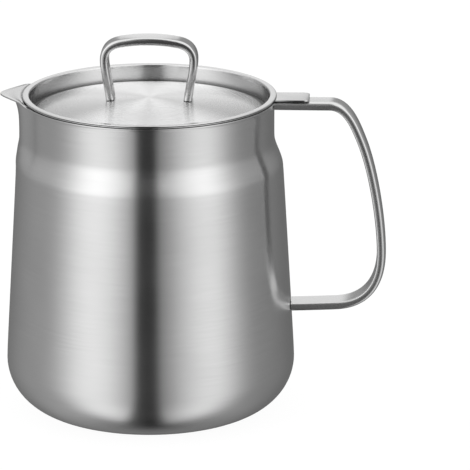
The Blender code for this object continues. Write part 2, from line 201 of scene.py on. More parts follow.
class JugSizes(PropertyGroup):
    """Sizes of the pot, the strainer and the lid."""

    columns: IntProperty(
        name="Columns",
        description="Columns round each turned piece, before it is subdivided",
        default=144,
        min=24,
        max=240,
    )
    pot_height: length("Pot height", 0.1543, "From the base to the top of the pot's rim")
    pot_sheet: length("Pot sheet", 0.0007, "Thickness of the pot's sheet")
    body_radius: length("Body radius", 0.0701, "Outer radius at the base corner")
    corner_radius: length("Corner radius", 0.0250, "Radius of the rounded base corner")
    shoulder_radius: length("Shoulder radius", 0.0644, "Outer radius below the shoulder")
    shoulder_base: length("Shoulder base", 0.0338, "Depth of the shoulder's foot below the rim")
    shoulder_top: length("Shoulder top", 0.0183, "Depth of the shoulder's start below the rim")
    neck_radius: length("Neck radius", 0.0600, "Outer radius of the neck")
    rim_width: length("Rim width", 0.0009, "Width of the flat rim outside the neck")
    rim_fold: length("Rim fold", 0.0003, "Radius of the fold under the rims")
    beak_reach: length("Beak reach", 0.0111, "How far the beak stands out from the rim")
    beak_rise: length("Beak rise", 0.0015, "How far the beak's edge rises")
    throat_depth: length("Throat depth", 0.0026, "Depth of the pouring throat in the neck")
    flare_width: length("Flare width", 0.0033, "Reach of the flare under the beak")
    flare_height: length("Flare height", 0.0090, "Height of the flare under the beak")
    handle_width: length("Handle width", 0.0132, "Width of the handle's bar")
    handle_thickness: length("Handle thickness", 0.0044, "Thickness of the handle's bar")
    handle_reach: length("Handle reach", 0.0520, "From the neck to the handle's outermost run")
    handle_drop: length("Handle drop", 0.1010, "Between the handle's two ends")
    strainer_sheet: length("Strainer sheet", 0.0005, "Thickness of the strainer's sheet")
    strainer_depth: length("Strainer depth", 0.0310, "From the strainer's rim to its floor")
    strainer_corner: length("Strainer corner", 0.0180, "Width of the strainer's round corner")
    strainer_seat: length("Strainer seat", 0.0039, "Width of the seat round the open floor")
    rim_recess: length("Rim recess", 0.0005, "How far the lid's rim covers the strainer's")
    slide_gap: length("Slide gap", 0.0004, "Gap between the pot, the strainer and the lid")
    wire_radius: length("Wire radius", 0.00014, "Radius of the net's wires")
    wire_pitch: length("Wire pitch", 0.0011, "Distance between the net's wires")
    lid_sheet: length("Lid sheet", 0.0005, "Thickness of the lid's sheet")
    lid_depth: length("Lid depth", 0.0092, "From the lid's rim to the foot of its groove")
    groove_radius: length("Groove radius", 0.0014, "Radius of the groove round the dome")
    groove_step: length("Groove step", 0.0003, "Rise of the straight side of the groove")
    groove_corner: length("Groove corner", 0.0014, "Radius between the groove and the dome")
    dome_slope: turn_angle("Dome slope", 12.7, "Slope of the dome at its edge")
    bail_width: length("Bail width", 0.0118, "Width of the bail's bar")
    bail_thickness: length("Bail thickness", 0.0041, "Thickness of the bail's bar")
    bail_half_span: length("Bail half span", 0.0214, "From the axis to the bail's leg")
    bail_rise: length("Bail rise", 0.0268, "From the lid's rim to the bail's crown")
    weld_gap: length("Weld gap", 0.0003, "Shadow line left where a bar meets the sheet")


class JugFinish(PropertyGroup):
    """Colours and gloss of the steel."""

    sheet_colour: grey("Sheet colour", 0.62, "Colour of the brushed sheet")
    lid_colour: grey("Lid colour", 0.88, "Colour of the turned lid")
    tab_colour: grey("Tab colour", 0.58, "Colour of the tab's bare sheet")
    bar_colour: grey("Bar colour", 0.66, "Colour of the handle and the bail")
    net_colour: grey("Net colour", 0.55, "Colour of the net's wires")
    sheet_roughness: share("Sheet roughness", 0.22, "Roughness of the brushed sheet")
    lid_roughness: share("Lid roughness", 0.26, "Roughness of the turned lid")
    handle_roughness: share("Handle roughness", 0.25, "Roughness of the handle")
    bar_roughness: share("Bar roughness", 0.17, "Roughness of the bail and the tab")
    ring_roughness: share("Ring roughness", 0.18, "Roughness of the ring round the net")
    net_roughness: share("Net roughness", 0.35, "Roughness of the net's wires")
    grain: share("Grain", 0.80, "How far the brushing stretches a highlight")
    lid_grain: share("Lid grain", 1.0, "How far the lid's turned lines stretch a highlight")
    line_width: length("Line width", 0.00035, "Width of one brush line")


class JugStage(PropertyGroup):
    """Camera and floor."""

    azimuth: turn_angle("Camera azimuth", 3.5, "Camera's turn to the handle's side")
    elevation: turn_angle("Camera elevation", 16.7, "Camera's height as an angle")
    roll: turn_angle("Camera roll", 0.32, "Camera's roll")
    distance: length("Camera distance", 1.94, "From the camera to the pot's middle")
    floor_size: length("Floor size", 6.0, "Side of the floor")
    floor_grey: share("Floor grey", 0.85, "How light the floor is under the studio's light")


class Signal:
    """A number that varies over a surface, so that shader maths is written as Python."""

    def __init__(self, builder, socket):
        self.builder = builder
        self.socket = socket

    def output(self, name):
        """Return another output of the same node."""
        return Signal(self.builder, self.socket.node.outputs[name])

    def maths(self, operation, first, second):
        """Add a Math node for two numbers or signals."""
        settings = {"operation": operation}
        return self.builder.add("ShaderNodeMath", settings, {0: first, 1: second})

    def __add__(self, other):
        return self.maths("ADD", self, other)

    def __radd__(self, other):
        return self.maths("ADD", other, self)

    def __sub__(self, other):
        return self.maths("SUBTRACT", self, other)

    def __rsub__(self, other):
        return self.maths("SUBTRACT", other, self)

    def __mul__(self, other):
        return self.maths("MULTIPLY", self, other)

    def __truediv__(self, other):
        return self.maths("DIVIDE", self, other)

    def __pow__(self, other):
        return self.maths("POWER", self, other)

    def at_least(self, low):
        """Return the number, or low where it is less."""
        return self.maths("MAXIMUM", self, low)

    def at_most(self, high):
        """Return the number, or high where it is more."""
        return self.maths("MINIMUM", self, high)

    def between(self, low, high):
        """Return 0 below low, 1 above high and a smooth step between them."""
        settings = {"interpolation_type": "SMOOTHSTEP"}
        sockets = {"Value": self, "From Min": low, "From Max": high}
        return self.builder.add("ShaderNodeMapRange", settings, sockets)


class Builder:
    """Adds nodes to the cleared tree of one material or world."""

    def __init__(self, owner):
        owner.use_nodes = True
        self.tree = owner.node_tree
        self.tree.nodes.clear()

    def add(self, kind, settings=None, sockets=None, output=0):
        """Add a node with its settings, then its sockets, and return one of its outputs."""
        node = self.tree.nodes.new(kind)
        for name, value in (settings or {}).items():
            setattr(node, name, value)
        for name, value in (sockets or {}).items():
            if isinstance(value, Signal):
                self.tree.links.new(value.socket, node.inputs[name])
            else:
                node.inputs[name].default_value = value
        if not node.outputs:
            return None
        return Signal(self, node.outputs[output])

    def place(self):
        """Return the X, Y and Z of the point in the object's own frame."""
        where = self.add("ShaderNodeTexCoord", output="Object")
        split = self.add("ShaderNodeSeparateXYZ", None, {0: where}, "X")
        return split, split.output("Y"), split.output("Z")

    def off_axis(self):
        """Return the point's distance from the jug's axis."""
        x, y = self.place()[:2]
        return (x * x + y * y) ** 0.5

    def mix(self, factor, first, second, blend="MIX"):
        """Return the mix of two colours."""
        settings = {"data_type": "RGBA", "clamp_factor": True, "blend_type": blend}
        sockets = {0: factor, MIX_FIRST: first, MIX_SECOND: second}
        return self.add("ShaderNodeMix", settings, sockets, MIX_OUTPUT)

    def noise(self, x, y, z, detail):
        """Return a noise, about 0.5 in the middle, at a point that is already scaled."""
        point = self.add("ShaderNodeCombineXYZ", None, {"X": x, "Y": y, "Z": z})
        sockets = {"Vector": point, "Scale": 1.0, "Detail": detail, "Roughness": NOISE_ROUGHNESS}
        return self.add("ShaderNodeTexNoise", None, sockets, "Fac")


def steel(name, colour, roughness, lines, grain=0.0, rough_and_shaded=None, glossy_and_shaded=None):
    """Return a steel whose lines and smudges vary its shade, gloss and surface.

    Lines takes the builder and returns a signal that is about 0.5 in the middle. Of the two
    masks, the first returns 1 where painted shade darkens the colour and the steel is rougher, and
    the second 1 where painted shade darkens the colour and the lines are finer and glossier.
    """
    material = bpy.data.materials.new(name)
    builder = Builder(material)
    brushed = grain > 0.0
    line = lines(builder)
    line_off = line - 0.5
    smudge_off = soft_smudges(builder) - 0.5
    tone = line_off * (LINE_TONE if brushed else POLISHED_TONE) + smudge_off * SMUDGE_TONE + 0.5
    mixed = builder.mix(tone, shaded(colour, DARK_SHADE), shaded(colour, LIGHT_SHADE))
    rough = roughness + line_off * (LINE_GLOSS if brushed else POLISHED_GLOSS)
    rough = rough + smudge_off * SMUDGE_GLOSS
    # Painted shade on the masked part: a darker colour, with finer and glossier lines
    if glossy_and_shaded:
        glossy_shaded_share = glossy_and_shaded(builder)
        rough = rough - glossy_shaded_share * FINE_GLOSS
        mixed = builder.mix(glossy_shaded_share, mixed, shaded((1.0, 1.0, 1.0), WALL_PAINTED_SHADE), "MULTIPLY")
    # Painted shade on the masked part: a darker colour, with rougher steel
    if rough_and_shaded:
        rough_shaded_share = rough_and_shaded(builder)
        rough = rough + rough_shaded_share * GROOVE_ROUGHENING
        mixed = builder.mix(rough_shaded_share, mixed, shaded(colour, GROOVE_PAINTED_SHADE))
    depth = LINE_DEPTH if brushed else POLISHED_DEPTH
    bump_sockets = {"Strength": BUMP_STRENGTH, "Distance": depth, "Height": line}
    sockets = {
        "Base Color": mixed,
        "Metallic": 1.0,
        "Roughness": rough,
        "Anisotropic": grain,
        "Anisotropic Rotation": LINE_TURN,
        "Normal": builder.add("ShaderNodeBump", None, bump_sockets, "Normal"),
    }
    shader = builder.add("ShaderNodeBsdfPrincipled", None, sockets)
    builder.add("ShaderNodeOutputMaterial", None, {"Surface": shader})
    return material


def shaded(colour, factor):
    """Return a colour with its values times a factor, and its alpha."""
    return [min(1.0, value * factor) for value in colour] + [1.0]


def turned_lines(line_width):
    """Return brush lines that run round the jug's axis, over walls and floors alike."""

    def lines(builder):
        x, y, z = builder.place()
        radius = (x * x + y * y + POLE_RADIUS**2) ** 0.5
        round_x = x / radius * TURNED_SCALE
        round_y = y / radius * TURNED_SCALE
        return builder.noise(round_x, round_y, (radius + z) / line_width, LINE_DETAIL)

    return lines


def straight_lines(line_width):
    """Return brush lines that run along a bar, so they only vary across it."""

    def lines(builder):
        x, y, z = builder.place()
        return builder.noise(x * ALONG_SCALE, y / line_width, z * ALONG_SCALE, LINE_DETAIL)

    return lines


def soft_smudges(builder):
    """Return the soft clouds that handling leaves."""
    x, y, z = builder.place()
    return builder.noise(x * SMUDGE_SCALE, y * SMUDGE_SCALE, z * SMUDGE_SCALE, SMUDGE_DETAIL)


def lid_groove(builder):
    """Return 1 down in the groove round the lid's dome, where shade is painted into the steel's
    colour.
    """
    z = builder.place()[2]
    ring = builder.off_axis().between(LID_HIGH.y - GROOVE_INNER, LID_HIGH.y - GROOVE_OUTER)
    return ring * (1.0 - z.between(LID_HIGH.z - GROOVE_FULL, LID_HIGH.z - GROOVE_TOP))


def lid_wall(builder):
    """Return 1 on the lid's wall and rim, where shade is painted into the steel's colour and its
    lines are finer.
    """
    return builder.off_axis().between(LID_HIGH.y - WALL_INNER, LID_HIGH.y - WALL_OUTER)


def brushed_sheet(name, finish):
    """Return the turned steel of the pot and the strainer."""
    lines = turned_lines(finish.line_width)
    return steel(name, finish.sheet_colour, finish.sheet_roughness, lines, finish.grain)


def drawn_steel(name, finish, colour, roughness):
    """Return the smoother steel of a bar, a wire or the tab."""
    return steel(name, colour, roughness, straight_lines(finish.line_width))


def sizes_and_finish(context):
    """Return the scene's settings for the jug."""
    return context.scene.jug_sizes, context.scene.jug_finish


def take(piece):
    """Select one object alone and make it the active one."""
    bpy.ops.object.select_all(action="DESELECT")
    piece.select_set(True)
    bpy.context.view_layer.objects.active = piece


def edit(piece):
    """Open one piece in edit mode with all of it selected."""
    take(piece)
    bpy.ops.object.mode_set(mode="EDIT")
    bpy.ops.mesh.select_all(action="SELECT")


def mend(piece):
    """Merge a mesh's doubled points and turn its faces outward."""
    edit(piece)
    bpy.ops.mesh.remove_doubles(threshold=WELD_DISTANCE)
    bpy.ops.mesh.normals_make_consistent(inside=False)
    bpy.ops.object.mode_set(mode="OBJECT")


def apply_modifier(piece, kind, **settings):
    """Add a modifier to a piece and apply it."""
    take(piece)
    modifier = piece.modifiers.new(kind.lower(), kind)
    for name, value in settings.items():
        setattr(modifier, name, value)
    bpy.ops.object.modifier_apply(modifier=modifier.name)


def round_edges(piece, width, segments):
    """Round a piece's sharp edges."""
    limits = {"limit_method": "ANGLE", "angle_limit": EDGE_ANGLE}
    apply_modifier(piece, "BEVEL", width=width, segments=segments, **limits)


def arc(centre, radii, start, end, steps):
    """Return points of an elliptic arc in the plane of a profile, angles in degrees."""
    points = []
    for step in range(steps + 1):
        angle = math.radians(start + (end - start) * step / steps)
        across = centre[0] + radii[0] * math.cos(angle)
        points.append((across, centre[1] + radii[1] * math.sin(angle)))
    return points


def stack_rings(name, rings, columns):
    """Draw a circle, then extrude and resize it from ring to ring, and close a last pole."""
    radius, height = rings[0]
    bpy.ops.mesh.primitive_circle_add(vertices=columns, radius=radius, location=(0, 0, height))
    piece = bpy.context.active_object
    piece.name = name
    edit(piece)
    for next_radius, next_height in rings[1:]:
        step = {"value": (0.0, 0.0, next_height - height)}
        bpy.ops.mesh.extrude_region_move(TRANSFORM_OT_translate=step)
        next_radius = max(next_radius, POLE_RADIUS)
        factor = next_radius / radius
        bpy.ops.transform.resize(value=(factor, factor, 1.0), center_override=(0.0, 0.0, 0.0))
        radius, height = next_radius, next_height
    if rings[-1][0] == 0.0:
        bpy.ops.mesh.merge(type="CENTER")
    bpy.ops.object.mode_set(mode="OBJECT")
    mend(piece)
    bpy.ops.object.transform_apply()
    return piece


def face_rim_down(piece):
    """Turn a skin's faces so that the first strip, under the rim, looks down."""
    if piece.data.polygons[0].normal.z > 0.0:
        edit(piece)
        bpy.ops.mesh.flip_normals()
        bpy.ops.object.mode_set(mode="OBJECT")


def thicken(piece, sheet):
    """Give a lower skin the thickness of its sheet, with the new skin's points last."""
    face_rim_down(piece)
    apply_modifier(piece, "SOLIDIFY", thickness=sheet, offset=-1.0, use_even_offset=True)


def round_sheet(piece, sheet):
    """Round the cut edges of a sheet and smooth it."""
    round_edges(piece, sheet * SHEET_ROUNDING, SHEET_SEGMENTS)
    apply_modifier(piece, "SUBSURF", levels=1, render_levels=1)
    shade_smooth(piece)


def shade_smooth(piece, angle=SMOOTH_ANGLE):
    """Shade a piece smooth and keep its sharp edges."""
    take(piece)
    bpy.ops.object.shade_smooth_by_angle(angle=angle)


def finish_piece(piece, node, body, material):
    """Give a piece its material and let it stand for its CAD node on the node's body."""
    piece.data.materials.clear()
    piece.data.materials.append(material)
    piece.name = "fine_" + node
    piece.data.name = piece.name
    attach(piece, body)
    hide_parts(node)


def remove_piece(piece):
    """Delete a helper object."""
    bpy.data.objects.remove(piece, do_unlink=True)


def body_rings(sizes):
    """Return the pot's plain rings from below the neck to the base, as radius and height."""
    base = sizes.pot_height - sizes.shoulder_base
    top = sizes.pot_height - sizes.shoulder_top
    slope = math.atan2(sizes.body_radius - sizes.shoulder_radius, base)
    rings = []
    for step in range(SHOULDER_STEPS + 1):
        part = step / SHOULDER_STEPS
        height = top + (base - top) * part
        blend = part * part * (3 - 2 * part)
        line_radius = sizes.shoulder_radius - (height - base) * math.tan(slope)
        rings.append((sizes.neck_radius + (line_radius - sizes.neck_radius) * blend, height))
    corner = sizes.corner_radius
    centre = (sizes.body_radius - corner, corner)
    bend = arc(centre, (corner, corner), math.degrees(slope), -90, CORNER_STEPS)
    start_radius, start_height = rings[-1]
    for step in range(1, WALL_STEPS):
        part = step / WALL_STEPS
        radius = start_radius + (bend[0][0] - start_radius) * part
        rings.append((radius, start_height + (bend[0][1] - start_height) * part))
    return rings + bend


def lobe(angle, half_angle, level_angle=0.0):
    """Return 1 across the level middle of a pressed form and let it fall to 0 at its edges."""
    if abs(angle) <= level_angle:
        return 1.0
    if abs(angle) >= half_angle:
        return 0.0
    part = (abs(angle) - level_angle) / (half_angle - level_angle)
    return math.cos(math.pi / 2 * part) ** 2


def point_out(angle):
    """Return 1 at the beak's blunt point and let its edge run straight till it meets the rim."""
    part = abs(angle) / BEAK_EDGE_ANGLE
    if part >= 1.0:
        return 0.0
    soft = math.hypot(part, BEAK_BLUNTNESS) - BEAK_BLUNTNESS
    left = 1.0 - soft / (math.hypot(1.0, BEAK_BLUNTNESS) - BEAK_BLUNTNESS)
    edge = 1.0 / math.cos(BEAK_EDGE_ANGLE * left) - 1.0
    return edge / (1.0 / math.cos(BEAK_EDGE_ANGLE) - 1.0)


def throat_out(angle):
    """Return 1 in the throat and a little less than 0 in the hollows beside it."""
    hollow = lobe(abs(angle) - HOLLOW_ANGLE, HOLLOW_HALF_ANGLE)
    return lobe(angle, THROAT_HALF_ANGLE, THROAT_LEVEL_ANGLE) - HOLLOW_SHARE * hollow


def spout_rings(sizes):
    """Return the pot's rings, each with its throat, reach, rise and share of the free edge."""
    underside = sizes.pot_height - sizes.pot_sheet
    rim_radius = sizes.neck_radius + sizes.rim_width
    fold_radius = sizes.neck_radius + sizes.rim_fold
    rings = []
    for step in range(LIP_STEPS):
        part = step / LIP_STEPS
        radius = rim_radius + (fold_radius - rim_radius) * part
        reach = sizes.beak_reach + (sizes.flare_width - sizes.beak_reach) * part
        rise = sizes.beak_rise * (1 + (FLARE_SHARES[0][2] - 1) * part)
        rings.append((radius, underside, sizes.throat_depth * part, reach, rise, 1.0 - part))
    for depth, flare, rise in FLARE_SHARES:
        radius = fold_radius if depth == 0.0 else sizes.neck_radius
        height = underside - sizes.flare_height * depth
        flare_reach = sizes.flare_width * flare
        row = (radius, height, sizes.throat_depth, flare_reach, sizes.beak_rise * rise, 0.0)
        rings.append(row)
    shoulder = sizes.shoulder_base - sizes.shoulder_top
    body = body_rings(sizes)
    for radius, height in body:
        depth = (body[0][1] - height) / shoulder
        fade = min(1.0, max(0.0, (1.0 - depth) / (1.0 - THROAT_FADE_SHARE)))
        rings.append((radius, height, sizes.throat_depth * fade, 0.0, 0.0, 0.0))
    return rings


def press_spout(piece, rings):
    """Move the skin's points outward and up into the throat and the beak.

    Return the ring that each point belongs to.
    """
    belongs = []
    for vertex in piece.data.vertices:
        place = vertex.co
        radius = math.hypot(place.x, place.y)
        gaps = [math.dist(row[:2], (radius, place.z)) for row in rings]
        belongs.append(gaps.index(min(gaps)))
        throat, reach, rise, edge = rings[belongs[-1]][2:]
        off_spout = abs(math.atan2(place.y, -place.x))
        flare = lobe(off_spout, BEAK_HALF_ANGLE)
        beak = edge * point_out(off_spout) + (1.0 - edge) * flare
        level = lobe(off_spout, EDGE_RISE_ANGLE, EDGE_LEVEL_ANGLE)
        out = throat * throat_out(off_spout) + reach * beak
        if radius > WELD_DISTANCE:
            place.x *= (radius + out) / radius
            place.y *= (radius + out) / radius
        place.z += rise * level
    return belongs


def fill_throat(piece, sizes, belongs):
    """Draw the upper skin in under the lid's rim, so that the beak's floor runs on level."""
    upper = piece.data.vertices[len(belongs):]
    for vertex, ring in zip(upper, belongs):
        row = ring - LIP_STEPS
        if row >= len(FLOOR_SHARES):
            continue
        place = vertex.co
        radius = math.hypot(place.x, place.y)
        off_spout = abs(math.atan2(place.y, -place.x))
        level = lobe(off_spout, EDGE_RISE_ANGLE, EDGE_LEVEL_ANGLE)
        new_radius, new_height = radius, place.z
        if row >= 0:
            away, deep = FLOOR_SHARES[row]
            floor_radius = LID_HIGH.y + sizes.flare_height * away
            floor_height = sizes.pot_height + sizes.beak_rise - sizes.flare_height * deep
            new_radius += (floor_radius - radius) * level
            new_height += (floor_height - place.z) * level
        clear = min(1.0, max(0.0, (new_radius - LID_HIGH.y) / RIM_CLEARANCE))
        under_lid = LID_HIGH.z - sizes.lid_sheet - RIM_CLEARANCE
        highest = under_lid + (sizes.pot_height + sizes.beak_rise - under_lid) * clear
        if new_radius < LID_HIGH.y - sizes.rim_recess:
            highest = sizes.pot_height
        place.x *= new_radius / radius
        place.y *= new_radius / radius
        place.z = min(new_height, highest)


def bent_bar(name, knots, thickness, width, squareness):
    """Sweep an oval section along knots in the XZ plane and return the bar as a mesh.

    Squareness is the section's exponent on the inner and on the outer side of the bends.
    """
    outline = bpy.data.curves.new(name + "_section", "CURVE")
    outline.dimensions = "2D"
    spline = outline.splines.new("POLY")
    spline.points.add(SECTION_POINTS - 1)
    for index, point in enumerate(spline.points):
        angle = 2 * math.pi * index / SECTION_POINTS
        cosine, sine = math.cos(angle), math.sin(angle)
        power = 2 / squareness[0 if cosine > 0.0 else 1]
        across = math.copysign(abs(cosine) ** power, cosine)
        along = math.copysign(abs(sine) ** power, sine)
        point.co = (across * thickness / 2, along * width / 2, 0.0, 1.0)
    spline.use_cyclic_u = True
    section = bpy.data.objects.new(name + "_section", outline)
    bpy.context.scene.collection.objects.link(section)
    bpy.ops.curve.primitive_bezier_curve_add(rotation=(math.pi / 2, 0.0, 0.0))
    bar = bpy.context.active_object
    bar.name = name
    path = bar.data
    path.dimensions = "2D"
    path.resolution_u = BEND_STEPS
    path.bevel_mode = "OBJECT"
    path.bevel_object = section
    path.use_fill_caps = True
    bends = path.splines[0].bezier_points
    bends.add(len(knots) - len(bends))
    for point, (place, way_in, way_out) in zip(bends, knots):
        point.handle_left_type = "FREE"
        point.handle_right_type = "FREE"
        point.co = (place[0], place[1], 0.0)
        point.handle_left = (place[0] + way_in[0], place[1] + way_in[1], 0.0)
        point.handle_right = (place[0] + way_out[0], place[1] + way_out[1], 0.0)
    bpy.ops.object.convert(target="MESH")
    bpy.ops.object.transform_apply()
    bar = bpy.context.active_object
    mend(bar)
    remove_piece(section)
    return bar


def trim(piece, cutter):
    """Close a helper's open rings, cut a piece to its form and delete it."""
    edit(cutter)
    bpy.ops.mesh.fill_holes(sides=0)
    bpy.ops.mesh.normals_make_consistent(inside=False)
    bpy.ops.object.mode_set(mode="OBJECT")
    apply_modifier(piece, "BOOLEAN", operation="DIFFERENCE", solver="EXACT", object=cutter)
    remove_piece(cutter)


def scaled_knots(shares, start, size):
    """Return a bar's knots from their shares, as place, way in and way out."""
    knots = []
    for place, way_in, way_out in shares:
        knot = [(across * size[0], up * size[1]) for across, up in (place, way_in, way_out)]
        knot[0] = (start[0] + knot[0][0], start[1] + knot[0][1])
        knots.append(tuple(knot))
    return knots


def lid_profile(sizes):
    """Return the lid's lower skin from the rim, down the wall and over the dome."""
    fold = sizes.rim_fold
    groove = sizes.groove_radius
    slope = math.degrees(sizes.dome_slope)
    wall = sizes.neck_radius - sizes.pot_sheet - sizes.strainer_sheet - sizes.slide_gap * 2
    underside = LID_HIGH.z - sizes.lid_sheet
    centre = (wall - groove, underside - sizes.lid_depth + groove)
    profile = [(LID_HIGH.y, underside)]
    profile += arc((wall + fold, underside - fold), (fold, fold), 90, 180, FOLD_STEPS)
    profile += arc(centre, (groove, groove), 0, -90 - STEP_SLOPE, GROOVE_STEPS)
    steep = math.radians(STEP_SLOPE)
    corner = sizes.groove_corner
    start_radius = profile[-1][0] - sizes.groove_step / math.tan(steep)
    start_height = profile[-1][1] + sizes.groove_step
    turn = (start_radius - corner * math.sin(steep), start_height - corner * math.cos(steep))
    profile += arc(turn, (corner, corner), 90 - STEP_SLOPE, 90 - slope, FOLD_STEPS)
    edge_radius, edge_height = profile[-1]
    dome_radius = edge_radius / math.sin(sizes.dome_slope)
    dome_centre = (0.0, edge_height - dome_radius * math.cos(sizes.dome_slope))
    dome = arc(dome_centre, (dome_radius, dome_radius), 90 - slope, 90, DOME_STEPS)
    return profile + dome[1:-1] + [(0.0, dome[-1][1])]


class PotShellOperator(Operator):
    """Draw the pot's sheet, press its throat and beak and thicken it."""

    bl_idname = "jug.pot_shell"
    bl_label = "Pot shell"

    def execute(self, context):
        sizes, finish = sizes_and_finish(context)
        rings = spout_rings(sizes)
        profile = [row[:2] for row in rings] + [(0.0, 0.0)]
        piece = stack_rings("pot", profile, sizes.columns)
        belongs = press_spout(piece, rings + [(0.0, 0.0, 0.0, 0.0, 0.0, 0.0)])
        thicken(piece, sizes.pot_sheet)
        fill_throat(piece, sizes, belongs)
        round_sheet(piece, sizes.pot_sheet)
        material = brushed_sheet("brushed_pot", finish)
        finish_piece(piece, "pot_shell", "pot", material)
        return {"FINISHED"}


class PotHandleOperator(Operator):
    """Bend the handle's bar and trim it to the neck, the rim and the wall."""

    bl_idname = "jug.pot_handle"
    bl_label = "Pot handle"

    def execute(self, context):
        sizes, finish = sizes_and_finish(context)
        level = sizes.pot_height - sizes.handle_thickness / 2
        size = (sizes.handle_reach, -sizes.handle_drop)
        knots = scaled_knots(HANDLE_KNOT_SHARES, (sizes.neck_radius, level), size)
        inward = (-TRIM_OVERRUN, 0.0)
        outward = (TRIM_OVERRUN, 0.0)
        upper = ((sizes.neck_radius - TRIM_OVERRUN / 2, level), inward, outward)
        lower = ((sizes.shoulder_radius, level - sizes.handle_drop), outward, inward)
        knots = [upper] + knots + [lower]
        thickness, width = sizes.handle_thickness, sizes.handle_width
        piece = bent_bar("handle", knots, thickness, width, HANDLE_SQUARENESS)
        gap = sizes.weld_gap
        top = sizes.pot_height + TRIM_OVERRUN
        under_rim = sizes.pot_height - sizes.pot_sheet - gap
        rim_radius = sizes.neck_radius + sizes.rim_width + gap
        profile = [(rim_radius, top), (rim_radius, under_rim)]
        profile.append((sizes.neck_radius + gap, under_rim))
        profile += [(radius + gap, height) for radius, height in body_rings(sizes)]
        profile = [(HELPER_CORE, top)] + profile + [(0.0, 0.0)]
        trim(piece, stack_rings("clearance", profile, sizes.columns))
        shade_smooth(piece)
        colour, roughness = finish.bar_colour, finish.handle_roughness
        material = drawn_steel("brushed_handle", finish, colour, roughness)
        finish_piece(piece, "pot_handle", "pot", material)
        return {"FINISHED"}


class StrainerPanOperator(Operator):
    """Draw the strainer's pan from its rim to the seat round its open floor."""

    bl_idname = "jug.strainer_pan"
    bl_label = "Strainer pan"

    def execute(self, context):
        sizes, finish = sizes_and_finish(context)
        wall = sizes.neck_radius - sizes.pot_sheet - sizes.slide_gap
        fold = sizes.rim_fold
        underside = PAN_HIGH.z - sizes.strainer_sheet
        rise = sizes.strainer_corner * CORNER_STRETCH
        corner = (wall - sizes.strainer_corner, PAN_LOW.z + rise)
        profile = [(PAN_HIGH.y - sizes.rim_recess, underside)]
        profile += arc((wall + fold, underside - fold), (fold, fold), 90, 180, FOLD_STEPS)
        profile += arc(corner, (sizes.strainer_corner, rise), 0, -90, CORNER_STEPS)
        profile.append((corner[0] - sizes.strainer_seat, PAN_LOW.z))
        piece = stack_rings("pan", profile, sizes.columns)
        thicken(piece, sizes.strainer_sheet)
        round_sheet(piece, sizes.strainer_sheet)
        material = brushed_sheet("brushed_pan", finish)
        finish_piece(piece, "strainer_pan", "strainer", material)
        return {"FINISHED"}


class StrainerNetOperator(Operator):
    """Weave the net's wires over and under each other."""

    bl_idname = "jug.strainer_net"
    bl_label = "Strainer net"

    def execute(self, context):
        sizes, finish = sizes_and_finish(context)
        radius = NET_HIGH.y
        middle = (NET_LOW.z + NET_HIGH.z) / 2
        pitch = sizes.wire_pitch
        reach = int(radius / pitch)
        net = bpy.data.curves.new("net", "CURVE")
        net.dimensions = "3D"
        net.bevel_depth = sizes.wire_radius
        net.bevel_resolution = 0
        net.use_fill_caps = True
        for row in range(-reach, reach + 1):
            half = int(math.sqrt(radius**2 - (row * pitch) ** 2) / pitch)
            if half < 1:
                continue
            for turned in (False, True):
                spline = net.splines.new("POLY")
                spline.points.add(half * 2)
                for point, column in zip(spline.points, range(-half, half + 1)):
                    side = 1 if (row + column + turned) % 2 else -1
                    along, beside = column * pitch, row * pitch
                    x, y = (beside, along) if turned else (along, beside)
                    point.co = (x, y, middle + side * sizes.wire_radius, 1.0)
        piece = bpy.data.objects.new("net", net)
        context.scene.collection.objects.link(piece)
        take(piece)
        bpy.ops.object.convert(target="MESH")
        piece = context.active_object
        shade_smooth(piece, WIRE_SMOOTH_ANGLE)
        colour, roughness = finish.net_colour, finish.net_roughness
        material = drawn_steel("net_steel", finish, colour, roughness)
        finish_piece(piece, "strainer_mesh", "strainer", material)
        return {"FINISHED"}


class StrainerRingOperator(Operator):
    """Turn the bright ring that holds the net down."""

    bl_idname = "jug.strainer_ring"
    bl_label = "Strainer ring"

    def execute(self, context):
        sizes, finish = sizes_and_finish(context)
        outer = RING_HIGH.y
        inner = outer - sizes.strainer_seat
        low, high = RING_LOW.z, RING_HIGH.z
        profile = [(inner, high), (outer, high), (outer, low), (inner, low), (inner, high)]
        piece = stack_rings("ring", profile, sizes.columns)
        round_edges(piece, (high - low) * RING_ROUNDING, PLATE_SEGMENTS)
        shade_smooth(piece)
        lines = turned_lines(finish.line_width)
        material = steel("ring_steel", finish.bar_colour, finish.ring_roughness, lines)
        finish_piece(piece, "strainer_mesh_ring", "strainer", material)
        return {"FINISHED"}


